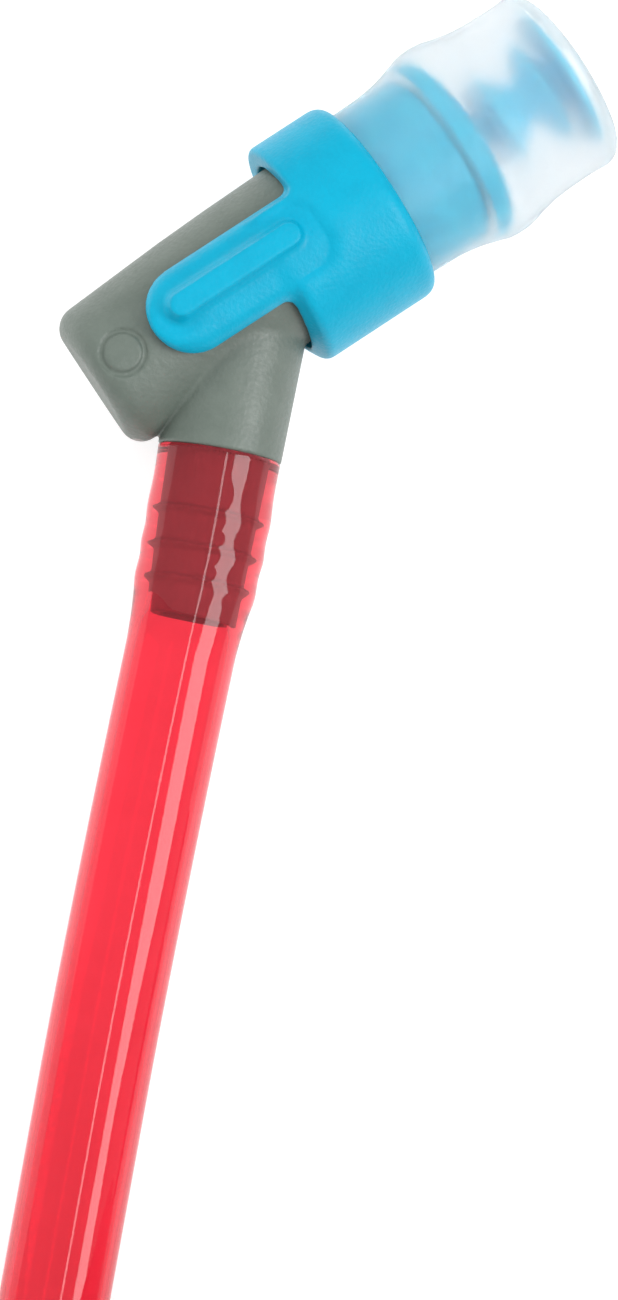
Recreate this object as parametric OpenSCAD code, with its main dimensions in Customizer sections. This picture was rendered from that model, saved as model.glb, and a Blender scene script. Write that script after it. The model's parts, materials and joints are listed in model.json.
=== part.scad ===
// Bite valve and drinking tube of a hydration bladder.
// The valve lies on its side with its lever up. The tube leaves it towards -Y, runs down to the
// surface and is wound into a coil, and its far end carries the quick-connect plug of the bladder.
// Origin: the middle of the valve's box (without the tube), on the surface. +Z is up.

/* [Tube] */
// Outer diameter of the drinking tube
tube_od = 9.5; // [9:0.1:10]
// Inner diameter of the drinking tube
tube_id = 6.0; // [5.6:0.1:6.2]
// Diameter of the coil, across the middle of its turns
coil_d = 95; // [95:1:100]

/* [Elbow] */
// Angle between the barrel and the tube
elbow_angle = 46.3; // [44:0.1:50]
// Radius of the barrel where it meets the tube's axis
barrel_r = 7.2; // [7:0.1:7.3]
// Length of the barrel behind the tube's axis
barrel_back = 16.5; // [16:0.1:18]
// Length of the barrel ahead of the tube's axis
barrel_front = 8.5; // [8.3:0.1:8.6]
// Radius of the bore that the stem turns in
bore_r = 5.0; // [4.8:0.05:5.1]
// Length of the socket, from the barrel's axis to its face
socket_len = 15.4; // [15:0.1:17]
// Radius of the socket at its face
socket_r = 5.37; // [5.3:0.01:5.5]

/* [Collar and lever] */
// Outer radius of the twist collar
collar_r = 9.46; // [9.3:0.01:9.6]
// Place of the collar's front rim along the barrel
collar_front = 13.4; // [13:0.1:14]
// Place of the collar's rear rim along the barrel, on the tube's side
collar_rear = 1.0; // [0.9:0.1:1.4]
// Place of the collar's rear rim on the other side
collar_notch = 5.9; // [5:0.1:6.5]
// Width of the lever
lever_w = 8.1; // [7.5:0.1:8.5]
// Place of the lever's tip along the barrel
lever_tip = -10.5; // [-10.8:0.1:-9.5]

/* [Mouthpiece] */
// Place of the mouthpiece's tip along the barrel
mouth_tip = 33.4; // [33.2:0.1:34]
// Radius of the stem inside the mouthpiece
stem_r = 6.2; // [6:0.05:6.4]
// Place of the stem's front rim along the barrel
stem_front = 22.5; // [22.2:0.1:22.8]

/* [Hidden] */
$fn = 96;
eps = 0.01;          // overlap that joins two shapes or clears a face
slack = 0.05;        // radial running clearance

grey = "#737d76";
sky = "#00b9e6";
pale_sky = "#5ecae7";
frost = "#e8f2f4";
red = "#e62d3c";
dark = "#26282b";

// The valve's box, and from it the crossing of the barrel's and the tube's axes.
tube_r = tube_od / 2;
lip_r = 1.6;                         // rounding of the mouthpiece's lip
lip_outer = 8.5;                     // radius of the lip
back_fillet = 2.4;                   // rounding of the barrel's back edge
back_r = 6.35;                       // radius of the barrel just ahead of that rounding
socket_root_r = 5.75;                // radius of the socket at the barrel's axis
spigot_len = 14.2;
box_right = (mouth_tip - lip_r) * sin(elbow_angle) + (lip_outer - lip_r) * cos(elbow_angle) + lip_r;
box_far = (mouth_tip - lip_r) * cos(elbow_angle) + (lip_outer - lip_r) * sin(elbow_angle) + lip_r;
box_left = -(barrel_back - back_fillet) * sin(elbow_angle)
           - (back_r - back_fillet) * cos(elbow_angle) - back_fillet;
box_near = -socket_len - spigot_len;
crossing = [-(box_right + box_left) / 2, -(box_far + box_near) / 2, collar_r];

// Stem, seals and seat
stem_back = -14.0;
stem_wall = 1.4;
stem_bore_r = 3.0;
shoulder = barrel_front + 0.3;       // where the stem widens, clear of the barrel's end
port_r = 2.4;
seat_r = 3.3;
seat_end = 10.4;
bead_at = 6.3;
bead_len = 1.0;
bead_r = 5.35;
bead_play = 0.1;
flange_r = 7.0;                      // flange at the stem's front that holds the mouthpiece
flange_from = 20.4;
flange_round = 0.4;
ring_section = 0.55;
ring_at_rear = -10.6;
ring_at_front = 1.9;
groove_len = 1.4;
groove_r = bore_r - slack - 2 * ring_section - slack;
spider_back = 15.0;                  // plunger in the stem's bore
neck_stem_r = 1.6;
head_front = 32.35;                   // plunger's face, against the mouthpiece's front wall
disc_r = 6.5;                        // disc that seals on the front wall
disc_len = 0.5;
cavity_r = 6.8;                      // room around the plunger
hole_r = 2.6;                        // hole in the front wall
key_w = 2.4;
key_h = 0.8;

// Collar
collar_bore = 7.7;
web_back = shoulder + 0.1;
web_front = 10.7;
cup_r = 8.15;
rim_round = 1.0;
rear_bevel = 1.65;                   // bevel of the rear rim, inwards
rear_bevel_len = 0.95;               // and along the barrel
lever_r = 9.4;
rib_w = 2.0;
rib_r = 10.2;
rib_from = -8.4;
rib_to = 4.4;

// Open mark beside the lever's tip: a ring groove
mark_at = -13.45;
mark_r = 1.85;
mark_w = 0.25;
mark_depth = 0.2;
mark_surface = 6.4;                  // radius of the barrel at the mark

// Barbs: [distance from the face, radius]
barb_root = tube_id / 2 + 0.2;
barb_peak = tube_id / 2 + 0.5;
barb_at = [5.2, 8.3, 11.2];
barb_tip_r = 2.85;
flow_r = 2.2;

// Tube's route, [x, y, z] from the socket's axis, and the coil's place beside it.
coil_r = coil_d / 2;
coil_y = -137;
tail_y = -70;                        // where the tail meets the plug
plug_z = 7.5;                        // height of the plug's axis, its grip on the surface
coil_levels = 2;                     // whole turns under the last half turn
coil_top = tube_r + coil_levels * tube_od;
drift = -1;                          // sideways drift of the tube on its way to the coil
route = [[0, -15.4, collar_r], [0, -24, collar_r], [-0.3, -32, 9.4], [-0.6, -42, 9.1], [-0.85, -54, 8.3],
         [drift, -66, 7.2], [drift, -78, 6.0], [drift, -90, 5.2], [drift, -102, 4.8],
         [drift, -114, tube_r], [drift, -126, tube_r], [drift, coil_y, tube_r]];
tail_x = coil_d + drift;
tail = [[tail_x, coil_y, coil_top], [tail_x, -131, 23.4], [tail_x, -125, 22.2], [tail_x, -119, 20.1],
        [tail_x, -115, 18.2], [tail_x, -111, 15.6], [tail_x, -107, 13.1], [tail_x, -103, 11.2],
        [tail_x, -97, 9.1], [tail_x, -91, 7.9], [tail_x, -85, plug_z], [tail_x, -78, plug_z],
        [tail_x, tail_y, plug_z]];

// Plug, along its own axis from the tube's end face
grip_r = 7.5;
grip_len = 4.5;
neck_r = 5.2;
neck_len = 4.0;
nose_r = 4.5;
nose_len = 8.0;
nose_groove_r = 3.45;
nose_groove_len = 1.4;
nose_tip_len = 2.2;
nose_chamfer = 0.5;

// ---------- placing ----------

// Barrel's frame: Z along the barrel towards the mouth, -Y up, +X towards the tube's side.
module along_barrel() {
    translate(crossing) rotate([0, 0, -elbow_angle]) rotate([-90, 0, 0]) children();
}

// Socket's frame: Z along the tube, away from the barrel.
module along_socket() {
    translate(crossing) rotate([90, 0, 0]) children();
}

// Plug's frame: Z from the tube's end towards the bladder.
module along_plug() {
    translate([crossing[0] + tail_x, crossing[1] + tail_y, plug_z]) rotate([-90, 0, 0]) children();
}

// ---------- shared shapes ----------

// Points of a quarter round, from angle a0 to a1, about [r, z].
function arc(r, z, radius, a0, a1, steps = 8) =
    [for (i = [0:steps]) [r + radius * cos(a0 + (a1 - a0) * i / steps),
                          z + radius * sin(a0 + (a1 - a0) * i / steps)]];

// A round spigot with three barbs, from its face at z = 0.
module barbed_spigot() {
    rotate_extrude() polygon(concat(
        [[0, -eps], [barb_root, -eps]],
        [for (i = [0:2]) each [[barb_root, barb_at[i]], [barb_peak, barb_at[i]],
            [i < 2 ? barb_root : barb_tip_r, i < 2 ? barb_at[i + 1] - eps : spigot_len]]],
        [[0, spigot_len]]));
}

// A toroidal seal ring whose section touches radius outer, at z.
module seal_ring(outer, section, z) {
    translate([0, 0, z]) rotate_extrude() translate([outer - section, 0]) circle(section, $fn = 32);
}

// Rings of a tube swept along points that run nearly in a plane of one x.
function direction(path, i) =
    let (a = path[max(i - 1, 0)], b = path[min(i + 1, len(path) - 1)]) (b - a) / norm(b - a);

module swept_tube(path, radius, sides = 12) {
    rings = [for (i = [0:len(path) - 1])
        let (d = direction(path, i), side = [1, 0, 0], up = cross(side, d))
        for (k = [0:sides - 1])
            path[i] + radius * (cos(360 * k / sides) * side + sin(360 * k / sides) * up)];
    last = len(path) - 1;
    walls = [for (i = [0:last - 1]) for (k = [0:sides - 1])
        let (j = (k + 1) % sides)
        [i * sides + k, i * sides + j, (i + 1) * sides + j, (i + 1) * sides + k]];
    start = [for (k = [0:sides - 1]) sides - 1 - k];
    end = [for (k = [0:sides - 1]) last * sides + k];
    polyhedron(concat(rings), concat([start], walls, [end]));
}

// ---------- elbow ----------

module barrel_outside() {
    rotate_extrude() polygon(concat(
        [[0, -barrel_back]],
        arc(back_r - back_fillet, back_fillet - barrel_back, back_fillet, -90, 0),
        [[barrel_r - 0.22, -5.3], [barrel_r, 0], [barrel_r + 0.13, 5], [barrel_r + 0.18, barrel_front],
         [0, barrel_front]]));
}

module open_mark() {
    translate([0, mark_depth - mark_surface, mark_at]) rotate([90, 0, 0])
        difference() {
            cylinder(r = mark_r + mark_w / 2, h = 1);
            translate([0, 0, -1]) cylinder(r = mark_r - mark_w / 2, h = 3);
        }
}

module elbow_body() {
    color(grey) difference() {
        union() {
            along_barrel() barrel_outside();
            along_socket() cylinder(r1 = socket_root_r, r2 = socket_r, h = socket_len);
            along_socket() translate([0, 0, socket_len]) barbed_spigot();
        }
        along_barrel() translate([0, 0, stem_back - 0.2])
            cylinder(r = bore_r, h = barrel_front - stem_back + 0.2 + eps);
        along_barrel() translate([0, 0, bead_at - bead_play])
            cylinder(r = bead_r + bead_play, h = bead_len + 2 * bead_play);
        along_socket() cylinder(r = flow_r, h = socket_len + spigot_len + eps);
        along_socket() cylinder(r = seat_r, h = seat_end);
        along_barrel() open_mark();
    }
}

// Seat in the flow bore that the stem's side port seals against.
module port_seat() {
    color(dark) difference() {
        along_socket() cylinder(r = seat_r, h = seat_end);
        along_socket() translate([0, 0, -eps]) cylinder(r = flow_r, h = seat_end + 2 * eps);
        along_barrel() translate([0, 0, -barrel_back]) cylinder(r = bore_r, h = 2 * barrel_back);
    }
}

// ---------- parts that turn ----------

module stem_outside() {
    turn_r = bore_r - slack;
    rotate_extrude() polygon([
        [0, stem_back], [turn_r - 0.4, stem_back], [turn_r, stem_back + 0.4],
        [turn_r, ring_at_rear - groove_len / 2], [groove_r, ring_at_rear - groove_len / 2],
        [groove_r, ring_at_rear + groove_len / 2], [turn_r, ring_at_rear + groove_len / 2],
        [turn_r, ring_at_front - groove_len / 2], [groove_r, ring_at_front - groove_len / 2],
        [groove_r, ring_at_front + groove_len / 2], [turn_r, ring_at_front + groove_len / 2],
        [turn_r, bead_at], [bead_r, bead_at], [bead_r, bead_at + bead_len / 2],
        [turn_r, bead_at + bead_len], [turn_r, shoulder], [stem_r, shoulder],
        [stem_r, flange_from], [flange_r - flange_round, flange_from],
        [flange_r, flange_from + flange_round], [flange_r, stem_front - flange_round],
        [flange_r - flange_round, stem_front], [0, stem_front]]);
}

module stem_keys(play) {
    for (side = [-1, 1])
        translate([side * stem_r - side * 0.3, 0, (web_back + web_front) / 2])
            cube([2 * key_h + 2 * play, key_w + 2 * play, web_front - web_back], center = true);
}

module rotor_stem() {
    color(pale_sky) difference() {
        along_barrel() union() {
            stem_outside();
            stem_keys(0);
        }
        along_barrel() translate([0, 0, stem_back + stem_wall])
            cylinder(r = stem_bore_r, h = stem_front - stem_back);
        along_socket() cylinder(r = port_r, h = 2 * bore_r);
    }
}

module o_ring_rear() {
    color(dark) along_barrel() seal_ring(bore_r - slack, ring_section, ring_at_rear);
}

module o_ring_front() {
    color(dark) along_barrel() seal_ring(bore_r - slack, ring_section, ring_at_front);
}

module collar_ring() {
    rotate_extrude() polygon(concat(
        [[collar_bore, collar_rear], [collar_r - rear_bevel, collar_rear],
         [collar_r, collar_rear + rear_bevel_len]],
        arc(collar_r - rim_round, collar_front - rim_round, rim_round, 0, 90),
        [[cup_r, collar_front], [cup_r, web_front], [stem_r + slack, web_front],
         [stem_r + slack, web_back], [collar_bore, web_back]]));
}

// Round-ended bar in the barrel's frame, from z0 to z1, that rises from the barrel's axis.
module round_bar(width, z0, z1, height) {
    rotate([90, 0, 0]) linear_extrude(height) {
        translate([-width / 2, z0 + width / 2]) square([width, z1 - z0 - width]);
        translate([0, z0 + width / 2]) circle(width / 2);
        translate([0, z1 - width / 2]) circle(width / 2);
    }
}

module twist_collar() {
    notch_from = -lever_w / 2;
    color(sky) along_barrel() {
        difference() {
            collar_ring();
            translate([notch_from - 2 * collar_r, -2 * collar_r, collar_rear - 1])
                cube([2 * collar_r, 4 * collar_r, collar_notch - collar_rear + 1]);
            stem_keys(slack);
        }
        difference() {
            intersection() {
                translate([0, 0, lever_tip - 1]) cylinder(r = lever_r, h = 20);
                round_bar(lever_w, lever_tip, 10, 2 * collar_r);
            }
            translate([0, 0, lever_tip - 2]) cylinder(r = collar_bore, h = 22);
        }
        difference() {
            round_bar(rib_w, rib_from, rib_to, rib_r);
            translate([0, 0, rib_from - 1]) cylinder(r = collar_bore + 0.3, h = 22);
        }
    }
}

// Plunger that closes the mouthpiece from inside: a spider in the stem's bore, a neck, and a
// waisted head that presses on the mouthpiece's front wall until it is bitten.
module seal_plunger() {
    color(pale_sky) along_barrel() {
        rotate_extrude() polygon([
            [0, spider_back], [neck_stem_r, spider_back], [neck_stem_r, 24.4], [3.7, 24.6], [4.0, 25.0],
            [3.9, 25.8], [2.3, 27.5], [1.9, 28.2], [2.3, 28.8], [4.5, 29.7], [4.7, 30.1], [2.2, 30.7],
            [2.2, head_front - disc_len], [disc_r, head_front - disc_len], [disc_r, head_front],
            [0, head_front]]);
        for (k = [0:2]) rotate(120 * k) translate([0, -0.5, spider_back])
            cube([stem_bore_r - 0.02, 1.0, stem_front - 3 - spider_back]);
    }
}

module mouthpiece() {
    inner_r = stem_r + 0.02;
    groove_r = flange_r + 0.02;
    color(frost, 0.6) along_barrel() rotate_extrude() polygon(concat(
        [[inner_r, web_front + 0.02], [7.9, web_front + 0.02], [8.04, 14.2], [8.1, 16.3], [8.37, 18.35],
         [8.92, 20.4], [9.23, 21.4], [9.3, 22.4], [9.22, 23.5], [8.95, 24.5], [8.54, 26.6],
         [8.42, 28.6], [8.42, mouth_tip - lip_r - 1]],
        arc(lip_outer - lip_r, mouth_tip - lip_r, lip_r, 0, 90),
        [[hole_r, mouth_tip], [hole_r, head_front + 0.02], [cavity_r - 0.15, head_front + 0.02],
         [cavity_r, head_front - 0.15], [6.6, 28.6], [cavity_r, 25.5], [groove_r, stem_front + 0.02],
         [groove_r, flange_from - 0.02], [inner_r, flange_from - 0.02]]));
}

// ---------- tube, coil and plug ----------

module drink_tube() {
    color(red) translate([crossing[0], crossing[1], 0]) swept_tube(route, tube_r);
}

module tube_coil() {
    height = coil_top + tube_r;
    soft = 3.0;
    inner = coil_r - tube_r;
    outer = coil_r + tube_r;
    color(red) translate([crossing[0] + drift + coil_r, crossing[1] + coil_y, 0])
        rotate_extrude() polygon(concat(
            arc(inner + soft, soft, soft, 180, 270), arc(outer - soft, soft, soft, 270, 360),
            arc(outer - soft, height - soft, soft, 0, 90),
            arc(inner + soft, height - soft, soft, 90, 180)));
}

module tube_tail() {
    color(red) translate([crossing[0], crossing[1], 0]) swept_tube(tail, tube_r);
}

module plug_body() {
    nose_end = grip_len + neck_len + nose_len + nose_groove_len + nose_tip_len;
    color(grey) along_plug() difference() {
        union() {
            mirror([0, 0, 1]) barbed_spigot();
            rotate_extrude() polygon(concat(
                [[0, 0]],
                arc(grip_r - 1, 1, 1, -90, 0), arc(grip_r - 1, grip_len - 1, 1, 0, 90),
                [[neck_r, grip_len], [neck_r, grip_len + neck_len],
                 [nose_r, grip_len + neck_len], [nose_r, grip_len + neck_len + nose_len],
                 [nose_groove_r, grip_len + neck_len + nose_len],
                 [nose_groove_r, nose_end - nose_tip_len], [nose_r, nose_end - nose_tip_len],
                 [nose_r, nose_end - nose_chamfer], [nose_r - nose_chamfer, nose_end],
                 [0, nose_end]]));
        }
        translate([0, 0, -spigot_len - eps]) cylinder(r = flow_r, h = spigot_len + nose_end + 1);
    }
}

module plug_o_ring() {
    color(dark) along_plug()
        seal_ring(nose_r, (nose_r - nose_groove_r) / 2 - 0.02,
                  grip_len + neck_len + nose_len + nose_groove_len / 2);
}

elbow_body();
port_seat();
rotor_stem();
o_ring_rear();
o_ring_front();
twist_collar();
seal_plunger();
mouthpiece();
drink_tube();
tube_coil();
tube_tail();
plug_body();
plug_o_ring();
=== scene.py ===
"""Looks of a hydration bladder's drinking tube and bite valve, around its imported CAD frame.

Lengths in the sections on shapes are in millimetres, in one of two frames: the tube's, with its
origin where the barrel's and the tube's axes cross, and the barrel's, which is the same turned so
that +Y runs along the barrel to the mouth. Blender's own objects are in metres in the row frame.
"""
import json
import math

import bmesh
import bpy
import numpy as np
from mathutils import Matrix, Vector


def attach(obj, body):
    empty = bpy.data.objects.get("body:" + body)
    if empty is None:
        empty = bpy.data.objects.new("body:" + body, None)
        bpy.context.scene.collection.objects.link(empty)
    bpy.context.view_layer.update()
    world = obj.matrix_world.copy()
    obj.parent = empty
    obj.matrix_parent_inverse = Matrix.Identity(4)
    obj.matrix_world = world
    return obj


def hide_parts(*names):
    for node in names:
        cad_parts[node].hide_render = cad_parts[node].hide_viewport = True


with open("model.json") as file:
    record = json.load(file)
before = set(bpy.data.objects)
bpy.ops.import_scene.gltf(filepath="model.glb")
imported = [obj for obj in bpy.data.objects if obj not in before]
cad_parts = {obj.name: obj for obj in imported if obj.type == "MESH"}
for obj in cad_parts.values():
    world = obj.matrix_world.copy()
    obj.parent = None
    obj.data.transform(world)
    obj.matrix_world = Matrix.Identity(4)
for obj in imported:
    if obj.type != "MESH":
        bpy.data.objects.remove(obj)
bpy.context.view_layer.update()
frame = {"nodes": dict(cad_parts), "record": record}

MM = 0.001
TWIST = frame["record"]["behaviour"]["joints"][0]
CROSSING = np.array(TWIST["pos_m"]) / MM
BARREL = -np.array(TWIST["axis"])
SIDE = np.array([BARREL[1], -BARREL[0], 0.0])
UP = np.array([0.0, 0.0, 1.0])


def row_from_tube(points):
    """Points in the tube's frame, in millimetres, as points in the row frame, in metres."""
    return (np.asarray(points, float) + CROSSING) * MM


def row_from_barrel(points):
    """Points in the barrel's frame, in millimetres, as points in the row frame, in metres."""
    p = np.asarray(points, float)
    return row_from_tube(p[..., :1] * SIDE + p[..., 1:2] * BARREL + p[..., 2:3] * UP)


# ---------- camera ----------

PICTURE_HEIGHT = 1300                    # of the photograph, in pixels
VIEW_DISTANCE = 400.0                    # millimetres from the crossing's height
TUBE_SLANT = math.radians(10.0)          # the tube's lean from the picture's vertical
LEAN_RIGHT = math.radians(5.5)           # how far the object leans away to the right
LEAN_UP = math.radians(3.6)              # and to the top
AIM_RIGHT, AIM_DOWN = 5.08, 31.94        # the picture's centre from the crossing
PIXELS_PER_MM = 11.63


def make_camera():
    """A camera above the valve, looking down at the photograph's angle."""
    right = np.array([math.cos(TUBE_SLANT), math.sin(TUBE_SLANT), 0.0])
    above = np.array([-math.sin(TUBE_SLANT), math.cos(TUBE_SLANT), 0.0])
    aim = AIM_RIGHT * right - AIM_DOWN * above
    back = UP - math.tan(LEAN_RIGHT) * right - math.tan(LEAN_UP) * above
    back /= np.linalg.norm(back)
    place = row_from_tube(aim + VIEW_DISTANCE * back)
    x_axis = np.cross(above, back)
    x_axis /= np.linalg.norm(x_axis)
    y_axis = np.cross(back, x_axis)
    data = bpy.data.cameras.new("camera")
    data.sensor_fit = "VERTICAL"
    data.angle = 2 * math.atan(PICTURE_HEIGHT / PIXELS_PER_MM / 2 / VIEW_DISTANCE)
    data.clip_start = 0.01
    camera = bpy.data.objects.new("camera", data)
    turn = Matrix([[x_axis[i], y_axis[i], back[i]] for i in range(3)]).to_4x4()
    camera.matrix_world = Matrix.Translation(Vector(place)) @ turn
    bpy.context.collection.objects.link(camera)
    bpy.context.scene.camera = camera


# ---------- node helpers ----------

class Nodes:
    """A material's nodes, made by short calls."""

    def __init__(self, name):
        self.material = bpy.data.materials.new(name)
        self.material.use_nodes = True
        self.tree = self.material.node_tree
        self.tree.nodes.clear()
        self.output = self.tree.nodes.new("ShaderNodeOutputMaterial")

    def add(self, kind, inputs=None, **settings):
        """A new node, with its settings, and its inputs linked or filled in."""
        node = self.tree.nodes.new("ShaderNode" + kind)
        for key, value in settings.items():
            setattr(node, key, value)
        for key, value in (inputs or {}).items():
            self.put(node, key, value)
        return node

    def put(self, node, key, value):
        """Links a socket to an input, or sets the input's value."""
        if isinstance(value, bpy.types.NodeSocket):
            self.tree.links.new(value, node.inputs[key])
        else:
            node.inputs[key].default_value = value

    def place(self):
        """Object coordinates in millimetres."""
        coordinates = self.add("TexCoord").outputs["Object"]
        mapping = self.add("Mapping", {"Vector": coordinates})
        mapping.inputs["Scale"].default_value = (1.0 / MM,) * 3
        return mapping.outputs["Vector"]

    def noise(self, scale, detail=3.0, roughness=0.5):
        """Noise with scale waves to the millimetre."""
        inputs = {"Vector": self.place(), "Scale": scale, "Detail": detail, "Roughness": roughness}
        return self.add("TexNoise", inputs).outputs["Fac"]

    def remap(self, value, low, high, to_low, to_high):
        """The value, with low..high stretched to to_low..to_high and clamped."""
        inputs = {0: value, 1: low, 2: high, 3: to_low, 4: to_high}
        return self.add("MapRange", inputs).outputs[0]

    def mix_color(self, factor, a, b):
        """Colour a where the factor is 0 and b where it is 1."""
        node = self.add("Mix", data_type="RGBA")
        self.put(node, 0, factor)
        self.put(node, 6, a)
        self.put(node, 7, b)
        return node.outputs[2]

    def bump(self, height, strength, distance, normal=None):
        """A normal bumped by height, distance millimetres deep."""
        inputs = {"Height": height, "Strength": strength, "Distance": distance * MM}
        if normal is not None:
            inputs["Normal"] = normal
        return self.add("Bump", inputs).outputs["Normal"]

    def clouded(self, scale, dark, light):
        """A tone that drifts slowly between two colours."""
        return self.mix_color(self.remap(self.noise(scale), 0.35, 0.65, 0.0, 1.0), dark, light)

    def principled(self, inputs):
        """A Principled shader."""
        return self.add("BsdfPrincipled", inputs)

    def finish(self, shader):
        """The material, with the shader on its surface."""
        self.tree.links.new(shader.outputs[0], self.output.inputs["Surface"])
        return self.material


def linear(r, g, b):
    """A linear colour from an 8-bit screen colour."""
    def one(v):
        """One channel of it."""
        v /= 255
        return v / 12.92 if v <= 0.04045 else ((v + 0.055) / 1.055) ** 2.4
    return (one(r), one(g), one(b), 1.0)


# ---------- materials ----------

TUBE_IOR = 1.43
WATER_IOR = 1.3
SILICONE_IOR = 1.33
TUBE_ROUGHNESS = 0.03
SILICONE_FROST = 0.42
TUBE_HAZE, SILICONE_HAZE = 0.1, 0.13     # share of the light that is scattered


def grained_plastic(name, base, light, roughness, grain_scale, grain_depth, specular=0.5):
    """Moulded plastic with a spark-eroded grain, a faint mottle and slightly polished high spots."""
    n = Nodes(name)
    cloud = n.noise(0.35, 4.0, 0.6)
    speckle = n.noise(grain_scale * 0.7, 2.0, 0.7)
    tone = n.mix_color(n.remap(cloud, 0.35, 0.65, 0.0, 0.5), base, light)
    tone = n.mix_color(n.remap(speckle, 0.45, 0.75, 0.0, 0.25), tone, light)
    grain = n.noise(grain_scale, 2.0, 0.6)
    pits = n.add("TexVoronoi", {"Vector": n.place(), "Scale": grain_scale * 0.6}).outputs[0]
    normal = n.bump(grain, 0.5, grain_depth)
    normal = n.bump(pits, 0.35, grain_depth, normal)
    rough = n.remap(grain, 0.3, 0.7, roughness - 0.06, roughness + 0.08)
    inputs = {"Base Color": tone, "Roughness": rough, "Normal": normal}
    shader = n.principled(inputs)
    shader.inputs["Specular IOR Level"].default_value = specular
    return n.finish(shader)


def stem_plastic(name, base, light):
    """Smooth moulded plastic, for the parts inside the silicone."""
    n = Nodes(name)
    tone = n.clouded(0.5, base, light)
    normal = n.bump(n.noise(6.0, 2.0), 0.2, 0.02)
    shader = n.principled({"Base Color": tone, "Normal": normal})
    shader.inputs["Roughness"].default_value = 0.35
    return n.finish(shader)


def seal_rubber():
    """Black rubber with a dull, slightly uneven skin."""
    n = Nodes("seal_rubber")
    cloud = n.noise(2.0, 4.0)
    tone = n.mix_color(cloud, (0.012, 0.012, 0.013, 1), (0.035, 0.035, 0.038, 1))
    normal = n.bump(n.noise(8.0, 2.0), 0.4, 0.03)
    rough = n.remap(cloud, 0.3, 0.7, 0.45, 0.6)
    return n.finish(n.principled({"Base Color": tone, "Roughness": rough, "Normal": normal}))


def tube_plastic():
    """Clear tinted flexible plastic: each wall tints what is seen through it."""
    n = Nodes("tube_plastic")
    tone = n.clouded(0.25, (0.80, 0.058, 0.083, 1), (0.84, 0.066, 0.093, 1))
    normal = n.bump(n.noise(0.5, 2.0), 0.1, 0.01)
    shader = n.principled({"Base Color": tone, "Normal": normal})
    shader.inputs["Transmission Weight"].default_value = 1.0
    shader.inputs["Roughness"].default_value = TUBE_ROUGHNESS
    shader.inputs["IOR"].default_value = TUBE_IOR
    haze = n.add("BsdfDiffuse", {"Color": tone})
    return n.finish(n.add("MixShader", {0: TUBE_HAZE, 1: shader.outputs[0], 2: haze.outputs[0]}))


def wet_bore():
    """The tube's inner wall. The drink that wets it hides most of its reflections."""
    n = Nodes("wet_bore")
    cloud = n.noise(0.15, 2.0)
    tone = n.mix_color(cloud, (0.98, 0.34, 0.52, 1), (1.0, 0.40, 0.58, 1))
    shader = n.principled({"Base Color": tone})
    shader.inputs["Transmission Weight"].default_value = 1.0
    shader.inputs["Roughness"].default_value = TUBE_ROUGHNESS
    shader.inputs["IOR"].default_value = TUBE_IOR / WATER_IOR
    return n.finish(shader)


def frosted_silicone():
    """Milky silicone with a frosted skin, which blurs what lies deeper."""
    n = Nodes("frosted_silicone")
    tone = n.clouded(0.3, (0.958, 0.968, 0.975, 1), (0.972, 0.98, 0.985, 1))
    normal = n.bump(n.noise(5.0, 2.0), 0.2, 0.02)
    clear = n.principled({"Base Color": tone, "Normal": normal})
    clear.inputs["Transmission Weight"].default_value = 1.0
    clear.inputs["Roughness"].default_value = SILICONE_FROST
    clear.inputs["IOR"].default_value = SILICONE_IOR
    milk = n.add("BsdfTranslucent", {"Color": tone, "Normal": normal})
    skin = n.add("BsdfDiffuse", {"Color": tone, "Normal": normal})
    haze = n.add("MixShader", {0: 0.5, 1: milk.outputs[0], 2: skin.outputs[0]})
    return n.finish(n.add("MixShader", {0: SILICONE_HAZE, 1: clear.outputs[0], 2: haze.outputs[0]}))


# ---------- meshes ----------

def new_object(name, points, faces, material):
    """A smooth-shaded object from points in the row frame, in metres."""
    mesh = bpy.data.meshes.new(name)
    mesh.from_pydata([tuple(p) for p in points], [], [tuple(f) for f in faces])
    shape = bmesh.new()
    shape.from_mesh(mesh)
    bmesh.ops.recalc_face_normals(shape, faces=shape.faces)
    shape.to_mesh(mesh)
    shape.free()
    mesh.shade_smooth()
    mesh.materials.append(material)
    obj = bpy.data.objects.new(name, mesh)
    bpy.context.collection.objects.link(obj)
    return obj


def revolve(profile, segments):
    """Points and faces of a closed ring-shaped profile, [radius, along], turned about the barrel."""
    profile = np.asarray(profile, float)
    angles = 2 * np.pi * np.arange(segments) / segments
    ring = np.stack([np.cos(angles), np.sin(angles)], -1)
    points = np.empty((len(profile), segments, 3))
    points[:, :, 0] = profile[:, :1] * ring[:, 0]
    points[:, :, 1] = profile[:, 1:2]
    points[:, :, 2] = profile[:, :1] * ring[:, 1]
    faces = grid_faces(len(profile), segments)
    return points.reshape(-1, 3), faces


def grid_faces(rows, columns):
    """Quads of a grid of points that closes on itself both ways."""
    faces = []
    for i in range(rows):
        for j in range(columns):
            i2, j2 = (i + 1) % rows, (j + 1) % columns
            faces.append((i * columns + j, i2 * columns + j, i2 * columns + j2, i * columns + j2))
    return faces


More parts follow.
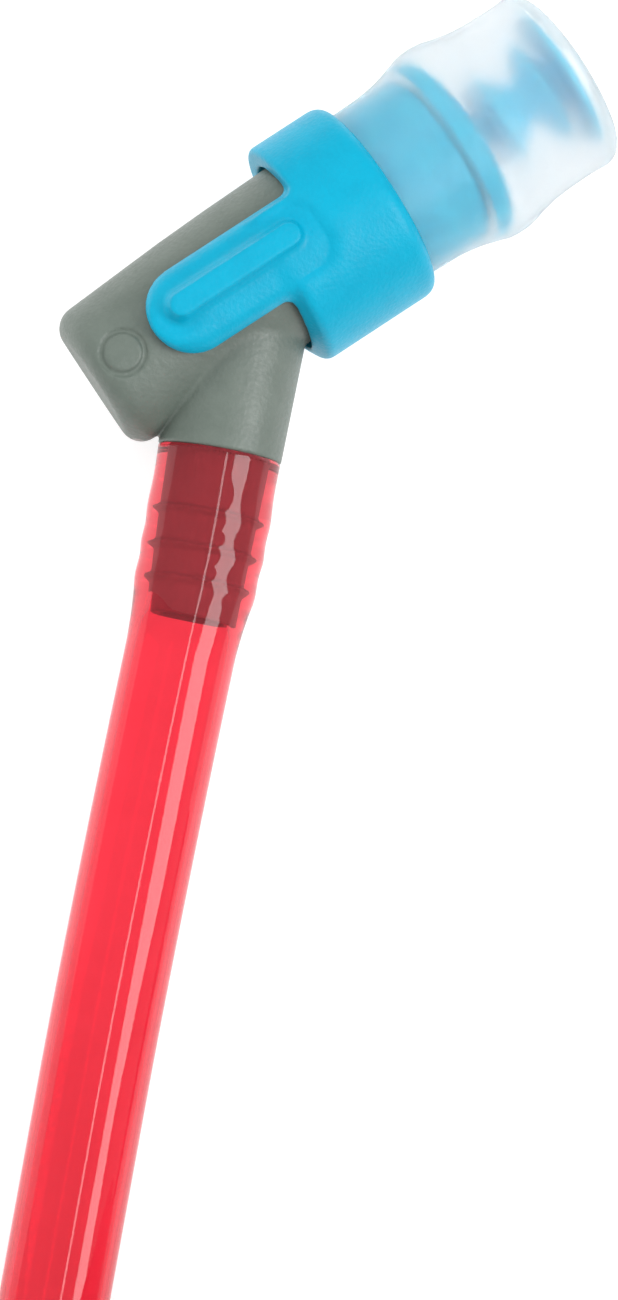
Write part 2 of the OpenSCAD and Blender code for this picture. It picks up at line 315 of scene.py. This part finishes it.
def smooth_line(knots, step):
    """A line through knots [radius, along] with even steps, curved by monotone cubic pieces."""
    knots = np.asarray(knots, float)
    x, y = knots[:, 1], knots[:, 0]
    h = np.diff(x)
    slope = np.diff(y) / h
    tangent = np.empty_like(y)
    tangent[0], tangent[-1] = slope[0], slope[-1]
    for i in range(1, len(y) - 1):
        same = slope[i - 1] * slope[i] > 0
        tangent[i] = 2 * slope[i - 1] * slope[i] / (slope[i - 1] + slope[i]) if same else 0.0
    count = max(2, int(round((x[-1] - x[0]) / step)) + 1)
    at = np.linspace(x[0], x[-1], count)
    k = np.clip(np.searchsorted(x, at, side="right") - 1, 0, len(h) - 1)
    t = (at - x[k]) / h[k]
    a = (1 + 2 * t) * (1 - t) ** 2 * y[k] + t * (1 - t) ** 2 * h[k] * tangent[k]
    b = t * t * (3 - 2 * t) * y[k + 1] + t * t * (t - 1) * h[k] * tangent[k + 1]
    return np.stack([a + b, at], -1)


def arc(radius, along, rounding, start, end, steps=8):
    """Points [radius, along] on an arc about a centre, between two angles in degrees."""
    turn = np.radians(np.linspace(start, end, steps + 1))
    return np.stack([radius + rounding * np.cos(turn), along + rounding * np.sin(turn)], -1)


# ---------- solids from distance fields ----------

def smooth_min(a, b, k):
    """The union of two distances, blended where they are within k of each other."""
    h = np.clip(0.5 + 0.5 * (b - a) / k, 0, 1)
    return b + (a - b) * h - k * h * (1 - h)


def smooth_max(a, b, k):
    """The overlap of two distances, blended where they are within k of each other."""
    return -smooth_min(-a, -b, k)


def outline_distance(x, y, outline):
    """Signed distance, negative inside, from points (x, y) to a closed outline."""
    outline = np.asarray(outline, float)
    nearest = np.full(x.shape, 1e9)
    inside = np.zeros(x.shape, bool)
    for (ax, ay), (bx, by) in zip(outline, np.roll(outline, -1, axis=0)):
        ex, ey = bx - ax, by - ay
        t = np.clip(((x - ax) * ex + (y - ay) * ey) / (ex * ex + ey * ey), 0, 1)
        nearest = np.minimum(nearest, (x - ax - t * ex) ** 2 + (y - ay - t * ey) ** 2)
        if ay != by:
            crosses = ((ay > y) != (by > y)) & (x < ex * (y - ay) / ey + ax)
            inside ^= crosses
    return np.sqrt(nearest) * np.where(inside, -1, 1)


def box_distance(x, y, x0, x1, y0, y1, rounding):
    """Distance to a rectangle with rounded corners."""
    dx = np.abs(x - (x0 + x1) / 2) - (x1 - x0) / 2 + rounding
    dy = np.abs(y - (y0 + y1) / 2) - (y1 - y0) / 2 + rounding
    outside = np.hypot(np.maximum(dx, 0), np.maximum(dy, 0))
    return outside + np.minimum(np.maximum(dx, dy), 0) - rounding


CORNERS = [(i, j, k) for i in (0, 1) for j in (0, 1) for k in (0, 1)]
EDGES = [(a, b) for n, a in enumerate(CORNERS) for b in CORNERS[n + 1:]
         if sum(abs(p - q) for p, q in zip(a, b)) == 1]


def surface_net(field, low, high, cell):
    """Points and quads on the zero surface of field(points), over a box of cubic cells."""
    low, high = np.array(low, float), np.array(high, float)
    counts = np.ceil((high - low) / cell).astype(int) + 1
    axes = [low[i] + cell * np.arange(counts[i]) for i in range(3)]
    value = field(np.stack(np.meshgrid(*axes, indexing="ij"), -1))
    cells = counts - 1

    def corner(c):
        """The field at one corner of every cell."""
        return value[c[0]:c[0] + cells[0], c[1]:c[1] + cells[1], c[2]:c[2] + cells[2]]

    total = sum((corner(c) < 0).astype(int) for c in CORNERS)
    active = (total > 0) & (total < 8)
    number = np.full(active.shape, -1)
    number[active] = np.arange(active.sum())
    place = np.argwhere(active)
    found = np.zeros((len(place), 3))
    hits = np.zeros(len(place))
    for a, b in EDGES:
        va, vb = corner(a)[active], corner(b)[active]
        cross = (va < 0) != (vb < 0)
        t = np.where(cross, va / np.where(cross, va - vb, 1), 0)[:, None]
        found += np.where(cross[:, None], np.array(a) + t * (np.array(b) - np.array(a)), 0)
        hits += cross
    points = low + cell * (place + found / hits[:, None])
    quads = []
    for axis in range(3):
        u, v = [i for i in range(3) if i != axis]
        start = [slice(1, cells[i]) for i in range(3)]
        start[axis] = slice(0, cells[axis])
        ahead = list(start)
        ahead[axis] = slice(1, cells[axis] + 1)
        first, second = value[tuple(start)] < 0, value[tuple(ahead)] < 0
        spots = np.argwhere(first != second)
        spots += [0 if i == axis else 1 for i in range(3)]
        flip = first[first != second]
        around = []
        for du, dv in ((0, 0), (1, 0), (1, 1), (0, 1)):
            at = spots.copy()
            at[:, u] -= du
            at[:, v] -= dv
            around.append(number[at[:, 0], at[:, 1], at[:, 2]])
        quad = np.stack(around, -1)
        if axis == 1:
            flip = ~flip
        quad[flip] = quad[flip][:, ::-1]
        quads.append(quad)
    return settle(field, points, cell), np.concatenate(quads)


def settle(field, points, cell, rounds=4):
    """Moves points onto the zero surface of field."""
    h = cell * 0.1
    for _ in range(rounds):
        value = field(points)
        slope = np.stack([field(points + h * e) - field(points - h * e) for e in np.eye(3)], -1) / (2 * h)
        size = np.maximum((slope ** 2).sum(-1), 0.2)
        step = (value / size)[:, None] * slope
        length = np.linalg.norm(step, axis=1, keepdims=True)
        points = points - step * np.minimum(1, 0.5 * cell / np.maximum(length, 1e-9))
    return points


# ---------- elbow ----------

BARB_PLACES = (5.2, 8.3, 11.2)
BARB_ROOT, BARB_TAPER, BARB_HEIGHT = 3.05, 0.025, 0.45
BARB_BACK, BARB_FRONT = 0.15, 0.45       # lengths of a barb's two slopes
SPIGOT_LENGTH = 14.2
SPIGOT_ROOT = -0.5                       # its outline starts this far inside the socket
SPIGOT_EDGE = 0.05
SOCKET_LENGTH = 15.4
SOCKET_ROOT_R, SOCKET_END_R = 5.75, 5.37
SOCKET_EDGE = 0.3
# The barrel's side as [radius, distance along], between its rounded ends.
BARREL_SIDE = [[6.6, -14.5], [6.98, -5.3], [7.2, 0.0], [7.33, 5.0], [7.38, 6.5]]
BARREL_EDGE = 2.0
BACK_LEAN = 0.1                          # the barrel's back leans in by this slope below the axis
BELLY, BELLY_FROM, BELLY_LENGTH = 0.25, -5.0, 11.0   # it bulges this much towards the socket
VALLEY = 0.3                             # blend between the barrel and the socket
MARK_X, MARK_Y, MARK_R = -0.3, -13.45, 1.85
GROOVE_R, GROOVE_EDGE = 0.26, 0.1        # of the engraved mark
BORE, BORE_BACK = 5.0, -14.2
FLOW = 2.2
AXIS_MARGIN = -1.0                       # outlines start this far past the axis
FAR = 5.0                                # a distance that cuts nothing
ELBOW_BOX = ([-8.2, -24.2, -8.2], [26.5, 9.2, 8.2])
ELBOW_CELL = 0.2


def root_radius(along):
    """Radius of the tapered spigot between its barbs."""
    return BARB_ROOT - BARB_TAPER * along


def barb_outline(start):
    """Outline of the barbed spigot as [radius, distance from the face]."""
    points = [[AXIS_MARGIN, start], [root_radius(0), start]]
    for place in BARB_PLACES:
        root = root_radius(place)
        points += [[root, place - BARB_BACK], [root + BARB_HEIGHT, place], [root, place + BARB_FRONT]]
    return points + [[root_radius(SPIGOT_LENGTH), SPIGOT_LENGTH], [AXIS_MARGIN, SPIGOT_LENGTH]]


def side_outline(side):
    """A closed outline from the axis out to a side [radius, along] and back."""
    return [[AXIS_MARGIN, side[0][1]], *side, [AXIS_MARGIN, side[-1][1]]]


def socket_distances(points):
    """Distances along the socket's axis, and across it within the barrel's plane."""
    x, y = points[..., 0], points[..., 1]
    return x * BARREL[0] - y * BARREL[1], x * BARREL[1] + y * BARREL[0]


def elbow_field(p):
    """Barrel, socket, spigot and engraved mark, with the two bores cut out of them."""
    x, y, z = p[..., 0], p[..., 1], p[..., 2]
    belly = BELLY * np.clip((BELLY_FROM - y) / BELLY_LENGTH, 0, 1)
    side = [[radius - BARREL_EDGE, along] for radius, along in BARREL_SIDE]
    leant = y + BACK_LEAN * np.minimum(z, 0)
    barrel = outline_distance(np.hypot(x - belly, z), leant, side_outline(side)) - BARREL_EDGE
    along, beside = socket_distances(p)
    across = np.hypot(beside, z)
    side = [[SOCKET_ROOT_R - SOCKET_EDGE, 0], [SOCKET_END_R - SOCKET_EDGE, SOCKET_LENGTH - SOCKET_EDGE]]
    socket = outline_distance(across, along, side_outline(side)) - SOCKET_EDGE
    body = smooth_min(barrel, socket, VALLEY)
    mark = np.hypot(x - MARK_X, y - MARK_Y) - MARK_R
    groove = np.where(z > 0, np.hypot(mark, body) - GROOVE_R, FAR)
    body = smooth_max(body, -groove, GROOVE_EDGE)
    spigot = outline_distance(across, along - SOCKET_LENGTH, barb_outline(SPIGOT_ROOT)) - SPIGOT_EDGE
    body = np.minimum(body, spigot)
    bore = np.maximum(np.hypot(x, z) - BORE, BORE_BACK - y)
    flow = np.maximum(across - FLOW, -along)
    return np.maximum(body, -np.minimum(bore, flow))


def make_elbow(material, spigot_painted_material):
    """The elbow, with a paler material on the spigot inside the tube: painted light for the light that
    the tube's walls keep off it.
    """
    points, quads = surface_net(elbow_field, *ELBOW_BOX, ELBOW_CELL)
    elbow = new_object("elbow_shell", row_from_barrel(points), quads, material)
    # Faces on the spigot get the paler grey with the painted light.
    along = socket_distances(points[quads].mean(axis=1))[0]
    on_spigot = (along > SOCKET_LENGTH + SPIGOT_EDGE).astype(int)
    elbow.data.materials.append(spigot_painted_material)
    elbow.data.polygons.foreach_set("material_index", on_spigot.tolist())
    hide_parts("elbow_body")
    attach(elbow, "elbow")


# ---------- collar and lever ----------

COLLAR_R = 9.46
COLLAR_REAR, COLLAR_FRONT = 1.0, 13.4
COLLAR_EDGE, RIM_EDGE, BORE_EDGE = 1.5, 0.3, 0.25
BEVEL_R = 7.8                            # where the bevel meets the rear rim
BEVEL_ACROSS, BEVEL_ALONG, BEVEL_EDGE = 0.497, 0.868, 0.5
COLLAR_BORE, FRONT_BORE = 7.7, 8.15
WEB_REAR, WEB_FRONT = 8.9, 10.7          # the web that joins the collar to the stem
STEM_R, STEM_GAP = 6.2, 0.05
# Limits, corner rounding and edge softness of the notch, which is laid out around the collar
# from the lever's middle and along it, and of the dish.
NOTCH, NOTCH_CORNER, NOTCH_EDGE = (3.9, 25.5, -20.0, 5.9), 0.9, 0.6
DISH, DISH_CORNER, DISH_EDGE = (-2.9, 2.9, -20.0, 6.3), 2.0, 1.3
LEVER_TIP, LEVER_END = -10.5, 9.0
LEVER_HALF, LEVER_TOP, LEVER_FOOT = 4.0, 9.05, 1.0
LEVER_EDGE, LEVER_FILLET = 1.4, 1.0
LEVER_FALL = 1.22                        # how much faster than a cylinder its top falls sideways
LEVER_ASIDE, RIB_ASIDE = 0.25, 0.75      # how far each lies beside the barrel's axis
# The ball that hollows the lever's end.
FINGER_Y, FINGER_Z, FINGER_R, FINGER_EDGE = -8.9, 14.6, 6.0, 0.6
RIB_FROM, RIB_TO, RIB_HALF = -8.4, 4.4, 0.95
RIB_TOP, RIB_FOOT, RIB_SLOPE = 10.1, 8.0, 0.4
RIB_EDGE, RIB_FILLET = 0.22, 0.5
COLLAR_BOX = ([-10.2, -11.3, -10.2], [10.2, 14.2, 10.6])
COLLAR_CELL = 0.17


def bar_distance(x, y, from_y, to_y, half):
    """Distance to a round-ended bar along Y."""
    return np.hypot(x, np.minimum(y - from_y - half, 0) + np.maximum(y - to_y + half, 0)) - half


def collar_field(p):
    """Collar and lever: the lever lies on top, and the collar's rear rim is notched on its -X side."""
    x, y, z = p[..., 0], p[..., 1], p[..., 2]
    r = np.hypot(x, z)
    ring = smooth_max(r - COLLAR_R, y - COLLAR_FRONT, COLLAR_EDGE)
    bevel = BEVEL_ACROSS * (r - BEVEL_R) - BEVEL_ALONG * (y - COLLAR_REAR)
    ring = smooth_max(ring, smooth_max(bevel, COLLAR_REAR - y, RIM_EDGE), BEVEL_EDGE)
    around = COLLAR_R * np.arctan2(-x, z)
    ring = smooth_max(ring, -box_distance(around, y, *NOTCH, NOTCH_CORNER), NOTCH_EDGE)
    dish = np.maximum(box_distance(x, y, *DISH, DISH_CORNER), LEVER_TOP - r)
    ring = np.where(z > 0, smooth_max(ring, -dish, DISH_EDGE), ring)
    roof = np.hypot(LEVER_FALL * x, z) - LEVER_TOP
    lever = bar_distance(x + LEVER_ASIDE, y, LEVER_TIP, LEVER_END, LEVER_HALF)
    lever = smooth_max(lever, roof, LEVER_EDGE)
    finger = np.sqrt((x + LEVER_ASIDE) ** 2 + (y - FINGER_Y) ** 2 + (z - FINGER_Z) ** 2) - FINGER_R
    lever = smooth_max(lever, -finger, FINGER_EDGE)
    lever = smooth_min(np.maximum(lever, LEVER_FOOT - z), ring, LEVER_FILLET)
    rib = bar_distance(x + RIB_ASIDE, y, RIB_FROM, RIB_TO, RIB_HALF) - (RIB_TOP - z) * RIB_SLOPE
    rib = smooth_max(rib, z - RIB_TOP, RIB_EDGE)
    rib = np.maximum(rib, RIB_FOOT - z)
    body = smooth_min(lever, rib, RIB_FILLET)
    rear_bore = np.maximum(r - COLLAR_BORE, y - WEB_REAR)
    front_bore = np.maximum(r - FRONT_BORE, WEB_FRONT - y)
    bore = np.minimum(np.minimum(rear_bore, front_bore), r - STEM_R - STEM_GAP)
    return smooth_max(body, -bore, BORE_EDGE)


def make_collar(material):
    """The collar and its lever, one moulding."""
    points, quads = surface_net(collar_field, *COLLAR_BOX, COLLAR_CELL)
    collar = new_object("collar_shell", row_from_barrel(points), quads, material)
    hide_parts("twist_collar")
    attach(collar, "valve")


# ---------- mouthpiece ----------

MOUTH_OUTSIDE = [[7.9, 10.75], [8.04, 14.2], [8.1, 16.3], [8.37, 18.35], [8.92, 20.4], [9.23, 21.4],
                 [9.3, 22.4], [9.22, 23.5], [8.95, 24.5], [8.72, 25.6], [8.54, 26.6], [8.42, 28.6],
                 [8.4, 30.2], [8.48, 31.8]]
MOUTH_TIP = 33.4
LIP, LIP_R = 1.6, 8.5
HOLE_R, HOLE_EDGE = 2.6, 0.4
CAVITY_R, CAVITY_END, CAVITY_EDGE = 6.8, 32.4, 0.3
CAVITY_SIDE = [[7.0, 22.5], [6.95, 24.5], [6.7, 26.6], [6.6, 28.6], [CAVITY_R, CAVITY_END - 0.5]]
STEM_SIDE = [[6.95, 22.2], [6.95, 20.6], [6.75, 20.35], [6.15, 20.3], [6.1, 20.0], [6.1, 10.75]]
MOUTH_SEGMENTS = 128
MOUTH_STEP, CAVITY_STEP = 0.35, 0.4      # spacing of the section's points


def mouthpiece_profile():
    """Section of the silicone: it grips the stem and its flange, then thins out around the plunger."""
    outside = smooth_line(MOUTH_OUTSIDE, MOUTH_STEP)
    lip = arc(LIP_R - LIP, MOUTH_TIP - LIP, LIP, 6, 90)
    hole = arc(HOLE_R + HOLE_EDGE, MOUTH_TIP - HOLE_EDGE, -HOLE_EDGE, -90, 0, 4)
    corner = arc(CAVITY_R - CAVITY_EDGE, CAVITY_END - CAVITY_EDGE, CAVITY_EDGE, 90, 0, 5)
    cavity = smooth_line(CAVITY_SIDE, CAVITY_STEP)[::-1]
    return np.concatenate([outside, lip, hole, [[HOLE_R, CAVITY_END]], corner, cavity, STEM_SIDE])


def make_mouthpiece(material):
    """The silicone bite piece."""
    points, faces = revolve(mouthpiece_profile(), MOUTH_SEGMENTS)
    piece = new_object("mouthpiece_silicone", row_from_barrel(points), faces, material)
    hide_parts("mouthpiece")
    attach(piece, "valve")


# ---------- tube ----------

TUBE_R = 4.75
TUBE_BORE = 3.0
COIL_R = 47.5
COIL_Y = -137.0
COIL_LEVELS = 2
PLUG_Z = 7.5
TAIL_END = -70.0
TURN_STEPS = 72
CLIMB_FROM, CLIMB_SPAN = 0.6, 0.3        # where in a turn the tube climbs
TUBE_SEGMENTS = 64
SPIGOT_STRETCH = 20.0                    # length of tube with close stations at each end
SPIGOT_STEP, TUBE_STEP = 0.3, 2.2        # distance between stations there and elsewhere
MIDDLE = 2000.0                          # further than any point is from the nearer end
# Radii [radius, distance from the end] where the tube is stretched over a spigot.
TUBE_OUTSIDE = [[5.34, 0.0], [5.28, 2.6], [5.38, 5.3], [5.28, 6.9], [5.35, 8.4], [5.22, 9.9],
                [5.28, 11.4], [5.06, 13.2], [4.87, 15.0], [TUBE_R, 17.5], [TUBE_R, MIDDLE]]
TUBE_INSIDE = [[TUBE_BORE, 0.0], [2.65, 13.9], [2.95, 15.3], [TUBE_BORE, 16.8], [TUBE_BORE, MIDDLE]]
VALVE_Z = 9.46                           # height of the valve's axes above the floor
DRIFT = -1.0                             # how far the tube has bent sideways where it meets the coil
ROUTE = [[0, -SOCKET_LENGTH, VALVE_Z], [0, -24, VALVE_Z], [-0.3, -32, 9.4], [-0.6, -42, 9.1],
         [-0.85, -54, 8.3], [DRIFT, -66, 7.2], [DRIFT, -78, 6.0], [DRIFT, -90, 5.2], [DRIFT, -102, 4.8],
         [DRIFT, -114, TUBE_R], [DRIFT, -126, TUBE_R], [DRIFT, COIL_Y, TUBE_R]]
COIL_TOP = TUBE_R + COIL_LEVELS * 2 * TUBE_R
TAIL_X = 2 * COIL_R + DRIFT
TAIL = [[TAIL_X, COIL_Y, COIL_TOP], [TAIL_X, -131, 23.4], [TAIL_X, -125, 22.2], [TAIL_X, -119, 20.1],
        [TAIL_X, -115, 18.2], [TAIL_X, -111, 15.6], [TAIL_X, -107, 13.1], [TAIL_X, -103, 11.2],
        [TAIL_X, -97, 9.1], [TAIL_X, -91, 7.9], [TAIL_X, -85, PLUG_Z], [TAIL_X, -78, PLUG_Z],
        [TAIL_X, TAIL_END, PLUG_Z]]


def coil_points():
    """Two and a half turns: each lies flat on the one below and climbs before its end."""
    points = []
    for i in range(1, int((COIL_LEVELS + 0.5) * TURN_STEPS)):
        turn = i / TURN_STEPS
        level = int(turn)
        climb = min(max((turn - level - CLIMB_FROM) / CLIMB_SPAN, 0), 1)
        height = level + climb * climb * (3 - 2 * climb)
        angle = math.pi + 2 * math.pi * turn
        points.append([DRIFT + COIL_R + COIL_R * math.cos(angle), COIL_Y + COIL_R * math.sin(angle),
                       TUBE_R + 2 * TUBE_R * height])
    return points


def curve_through(points, pieces=8):
    """A Catmull-Rom line through points."""
    p = np.asarray(points, float)
    p = np.concatenate([[2 * p[0] - p[1]], p, [2 * p[-1] - p[-2]]])
    line = []
    for i in range(1, len(p) - 2):
        for t in np.arange(pieces) / pieces:
            line.append(0.5 * (2 * p[i] + (p[i + 1] - p[i - 1]) * t
                               + (2 * p[i - 1] - 5 * p[i] + 4 * p[i + 1] - p[i + 2]) * t * t
                               + (3 * p[i] - p[i - 1] - 3 * p[i + 1] + p[i + 2]) * t ** 3))
    return np.array(line + [p[-2]])


def tube_centreline():
    """Points and their distances along the tube, close together over its two spigots."""
    line = curve_through(np.concatenate([ROUTE, coil_points(), TAIL]))
    line[:, 2] -= CROSSING[2]
    along = np.concatenate([[0], np.cumsum(np.linalg.norm(np.diff(line, axis=0), axis=1))])
    total = along[-1]
    fine = np.arange(0, SPIGOT_STRETCH, SPIGOT_STEP)
    middle = np.linspace(SPIGOT_STRETCH, total - SPIGOT_STRETCH, int(total / TUBE_STEP))
    stations = np.concatenate([fine, middle, total - fine[::-1]])
    points = np.stack([np.interp(stations, along, line[:, i]) for i in range(3)], -1)
    return points, stations, total


def stretched_radius(distance, knots):
    """Radius at distances from the nearer end, along a smooth line through knots."""
    line = smooth_line(knots, 0.1)
    return np.interp(distance, line[:, 1], line[:, 0])


def make_tube(material, bore_material):
    """The whole tube: its object, its centreline in the row frame and its length in millimetres."""
    points, stations, total = tube_centreline()
    forward = np.gradient(points, axis=0)
    forward /= np.linalg.norm(forward, axis=1, keepdims=True)
    side = np.array([1.0, 0.0, 0.0])
    sides = []
    for f in forward:
        side = side - f * (side @ f)
        side /= np.linalg.norm(side)
        sides.append(side)
    sides = np.array(sides)
    ups = np.cross(sides, forward)
    angles = 2 * np.pi * np.arange(TUBE_SEGMENTS) / TUBE_SEGMENTS
    distance = np.minimum(stations, total - stations)
    cosine, sine = np.cos(angles)[None, :, None], np.sin(angles)[None, :, None]
    ring = cosine * sides[:, None] + sine * ups[:, None]
    walls = []
    for knots in (TUBE_OUTSIDE, TUBE_INSIDE):
        radius = stretched_radius(distance, knots)[:, None, None]
        walls.append(points[:, None] + radius * ring)
    rows = np.concatenate([walls[0], walls[1][::-1]])
    faces = grid_faces(len(rows), TUBE_SEGMENTS)
    tube = new_object("drinking_tube", row_from_tube(rows.reshape(-1, 3)), faces, material)
    tube.data.materials.append(bore_material)
    inner = np.repeat([0, 1], len(points))
    inner[[len(points) - 1, -1]] = 0     # the two end faces
    tube.data.polygons.foreach_set("material_index", np.repeat(inner, TUBE_SEGMENTS).tolist())
    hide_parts("drink_tube", "tube_coil", "tube_tail")
    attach(tube, "elbow")
    return tube, row_from_tube(points), total


# ---------- plug ----------

GRIP_R, GRIP_LENGTH, GRIP_EDGE = 7.3, 4.5, 0.6
FLUTES, FLUTE_DEPTH = 24, 0.18
NECK_OUTLINE = [[AXIS_MARGIN, 4.0], [4.9, 4.0], [4.9, 8.2], [AXIS_MARGIN, 8.2]]
NOSE_OUTLINE = [[AXIS_MARGIN, 8.0], [4.3, 8.0], [4.3, 16.3], [3.25, 16.4], [3.25, 18.1], [4.3, 18.2],
                [4.3, 19.4], [3.9, 19.9], [AXIS_MARGIN, 19.9]]
NECK_EDGE, NOSE_EDGE = 0.3, 0.2
GRIP_FILLET, NECK_FILLET = 1.2, 0.5
PLUG_BARBS_FROM = -1.0                   # they start this far inside the plug
INWARD = -20.0                           # how far the grip's outline reaches below its surface
PLUG_BOX = ([-8.4, -14.8, -8.4], [8.4, 20.8, 8.4])
PLUG_CELL = 0.24


def plug_field(p):
    """The plug about +Y, from the tube's end face at y = 0."""
    x, y, z = p[..., 0], p[..., 1], p[..., 2]
    r = np.hypot(x, z)
    grip_r = GRIP_R + FLUTE_DEPTH * np.cos(FLUTES * np.arctan2(z, x))
    rear, front = GRIP_EDGE, GRIP_LENGTH - GRIP_EDGE
    section = [[INWARD, rear], [-GRIP_EDGE, rear], [-GRIP_EDGE, front], [INWARD, front]]
    grip = outline_distance(r - grip_r, y, section) - GRIP_EDGE
    neck = outline_distance(r, y, NECK_OUTLINE) - NECK_EDGE
    nose = outline_distance(r, y, NOSE_OUTLINE) - NOSE_EDGE
    barbs = outline_distance(r, -y, barb_outline(PLUG_BARBS_FROM)) - SPIGOT_EDGE
    body = smooth_min(grip, smooth_min(neck, nose, NECK_FILLET), GRIP_FILLET)
    body = np.minimum(body, barbs)
    return np.maximum(body, FLOW - r)


def make_plug(material):
    """The plug on the tube's far end."""
    points, quads = surface_net(plug_field, *PLUG_BOX, PLUG_CELL)
    points = points + [TAIL_X, TAIL_END, PLUG_Z - CROSSING[2]]
    plug = new_object("plug_shell", row_from_tube(points), quads, material)
    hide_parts("plug_body")
    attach(plug, "elbow")
    return plug


# ---------- surroundings ----------

FLOOR_Z = -0.0002                        # just under the part, in metres
FLOOR_HALF = 2.0
FLOOR_TONES = (0.52, 0.52, 0.52, 1), (0.54, 0.54, 0.54, 1)
FLOOR_GLOW = 0.7                         # like a light table, to keep shadows faint
WORLD_STRENGTH = 0.6
LIGHT_AIM = [0, -45, 0]                  # in the tube's frame


def make_floor():
    """A plain pale floor that glows a little."""
    mesh = bpy.data.meshes.new("floor")
    corners = [(-FLOOR_HALF, -FLOOR_HALF), (FLOOR_HALF, -FLOOR_HALF),
               (FLOOR_HALF, FLOOR_HALF), (-FLOOR_HALF, FLOOR_HALF)]
    mesh.from_pydata([(x, y, FLOOR_Z) for x, y in corners], [], [(0, 1, 2, 3)])
    n = Nodes("floor_white")
    cloud = n.noise(0.02, 2.0)
    tone = n.mix_color(cloud, *FLOOR_TONES)
    shader = n.principled({"Base Color": tone})
    shader.inputs["Roughness"].default_value = 0.9
    shader.inputs["Emission Color"].default_value = (1.0, 1.0, 1.0, 1.0)
    shader.inputs["Emission Strength"].default_value = FLOOR_GLOW
    mesh.materials.append(n.finish(shader))
    floor = bpy.data.objects.new("floor", mesh)
    bpy.context.collection.objects.link(floor)


def make_light(name, direction, distance, width, length, turn, power, mirrored=True):
    """A softbox that looks at the object from a direction, in metres, watts and degrees.

    Its length lies along the tube but for a turn. If it is not mirrored, no reflection shows it.
    """
    data = bpy.data.lights.new(name, "AREA")
    data.shape = "RECTANGLE"
    data.size, data.size_y = width, length
    data.energy = power
    light = bpy.data.objects.new(name, data)
    direction = Vector(direction).normalized()
    long_side = Vector((0.0, 1.0, 0.0))
    long_side = (long_side - direction * long_side.dot(direction)).normalized()
    long_side = Matrix.Rotation(math.radians(turn), 3, direction) @ long_side
    short_side = long_side.cross(direction)
    pose = Matrix((short_side, long_side, direction)).transposed().to_4x4()
    aim = Vector(row_from_tube(LIGHT_AIM))
    light.matrix_world = Matrix.Translation(aim + direction * distance) @ pose
    light.visible_glossy = mirrored
    bpy.context.collection.objects.link(light)


def make_world():
    """An even white sky."""
    world = bpy.data.worlds.new("studio")
    world.use_nodes = True
    background = world.node_tree.nodes["Background"]
    background.inputs["Color"].default_value = (1.0, 1.0, 1.0, 1.0)
    background.inputs["Strength"].default_value = WORLD_STRENGTH
    bpy.context.scene.world = world


def paint(node, material):
    """Gives a CAD node a material."""
    obj = frame["nodes"][node]
    obj.data.materials.clear()
    obj.data.materials.append(material)
    obj.data.shade_smooth()


# ---------- making ----------

make_camera()
tube, centreline, tube_length = make_tube(tube_plastic(), wet_bore())
grey = grained_plastic("grey_plastic", linear(98, 109, 101), linear(112, 122, 114),
                       roughness=0.42, grain_scale=3.2, grain_depth=0.065)
blue = grained_plastic("blue_plastic", linear(0, 160, 194), linear(0, 172, 206),
                       roughness=0.36, grain_scale=4.0, grain_depth=0.05, specular=0.2)
pale = stem_plastic("stem_plastic", linear(10, 186, 222), linear(30, 198, 230))
plunger_blue = stem_plastic("plunger_plastic", linear(30, 205, 240), linear(50, 212, 244))
rubber = seal_rubber()
plug = make_plug(grey)
# Painted light: the spigot is the elbow's own grey moulding, but its colour is painted paler to stand in
# for the light that the tube's walls keep off it.
spigot_painted_lighter = grained_plastic("spigot_painted_light", linear(152, 152, 148), linear(162, 162, 158),
                              roughness=0.45, grain_scale=3.2, grain_depth=0.02)
make_elbow(grey, spigot_painted_lighter)
make_collar(blue)
make_mouthpiece(frosted_silicone())
paint("rotor_stem", pale)
paint("seal_plunger", plunger_blue)
for name in ("port_seat", "o_ring_rear", "o_ring_front", "plug_o_ring"):
    paint(name, rubber)

make_floor()
make_world()
make_light("key", (0.98, 0.0, 1.0), distance=0.9, width=0.44, length=0.50, turn=30.0, power=4.6)
make_light("strip", (0.187, 0.0, 1.0), distance=0.9, width=0.06, length=0.50, turn=0.0, power=0.6)
make_light("fill", (-1.0, 0.6, 1.2), distance=1.0, width=0.8, length=0.8, turn=0.0, power=5.0,
           mirrored=False)

bpy.context.scene.view_settings.view_transform = "Standard"
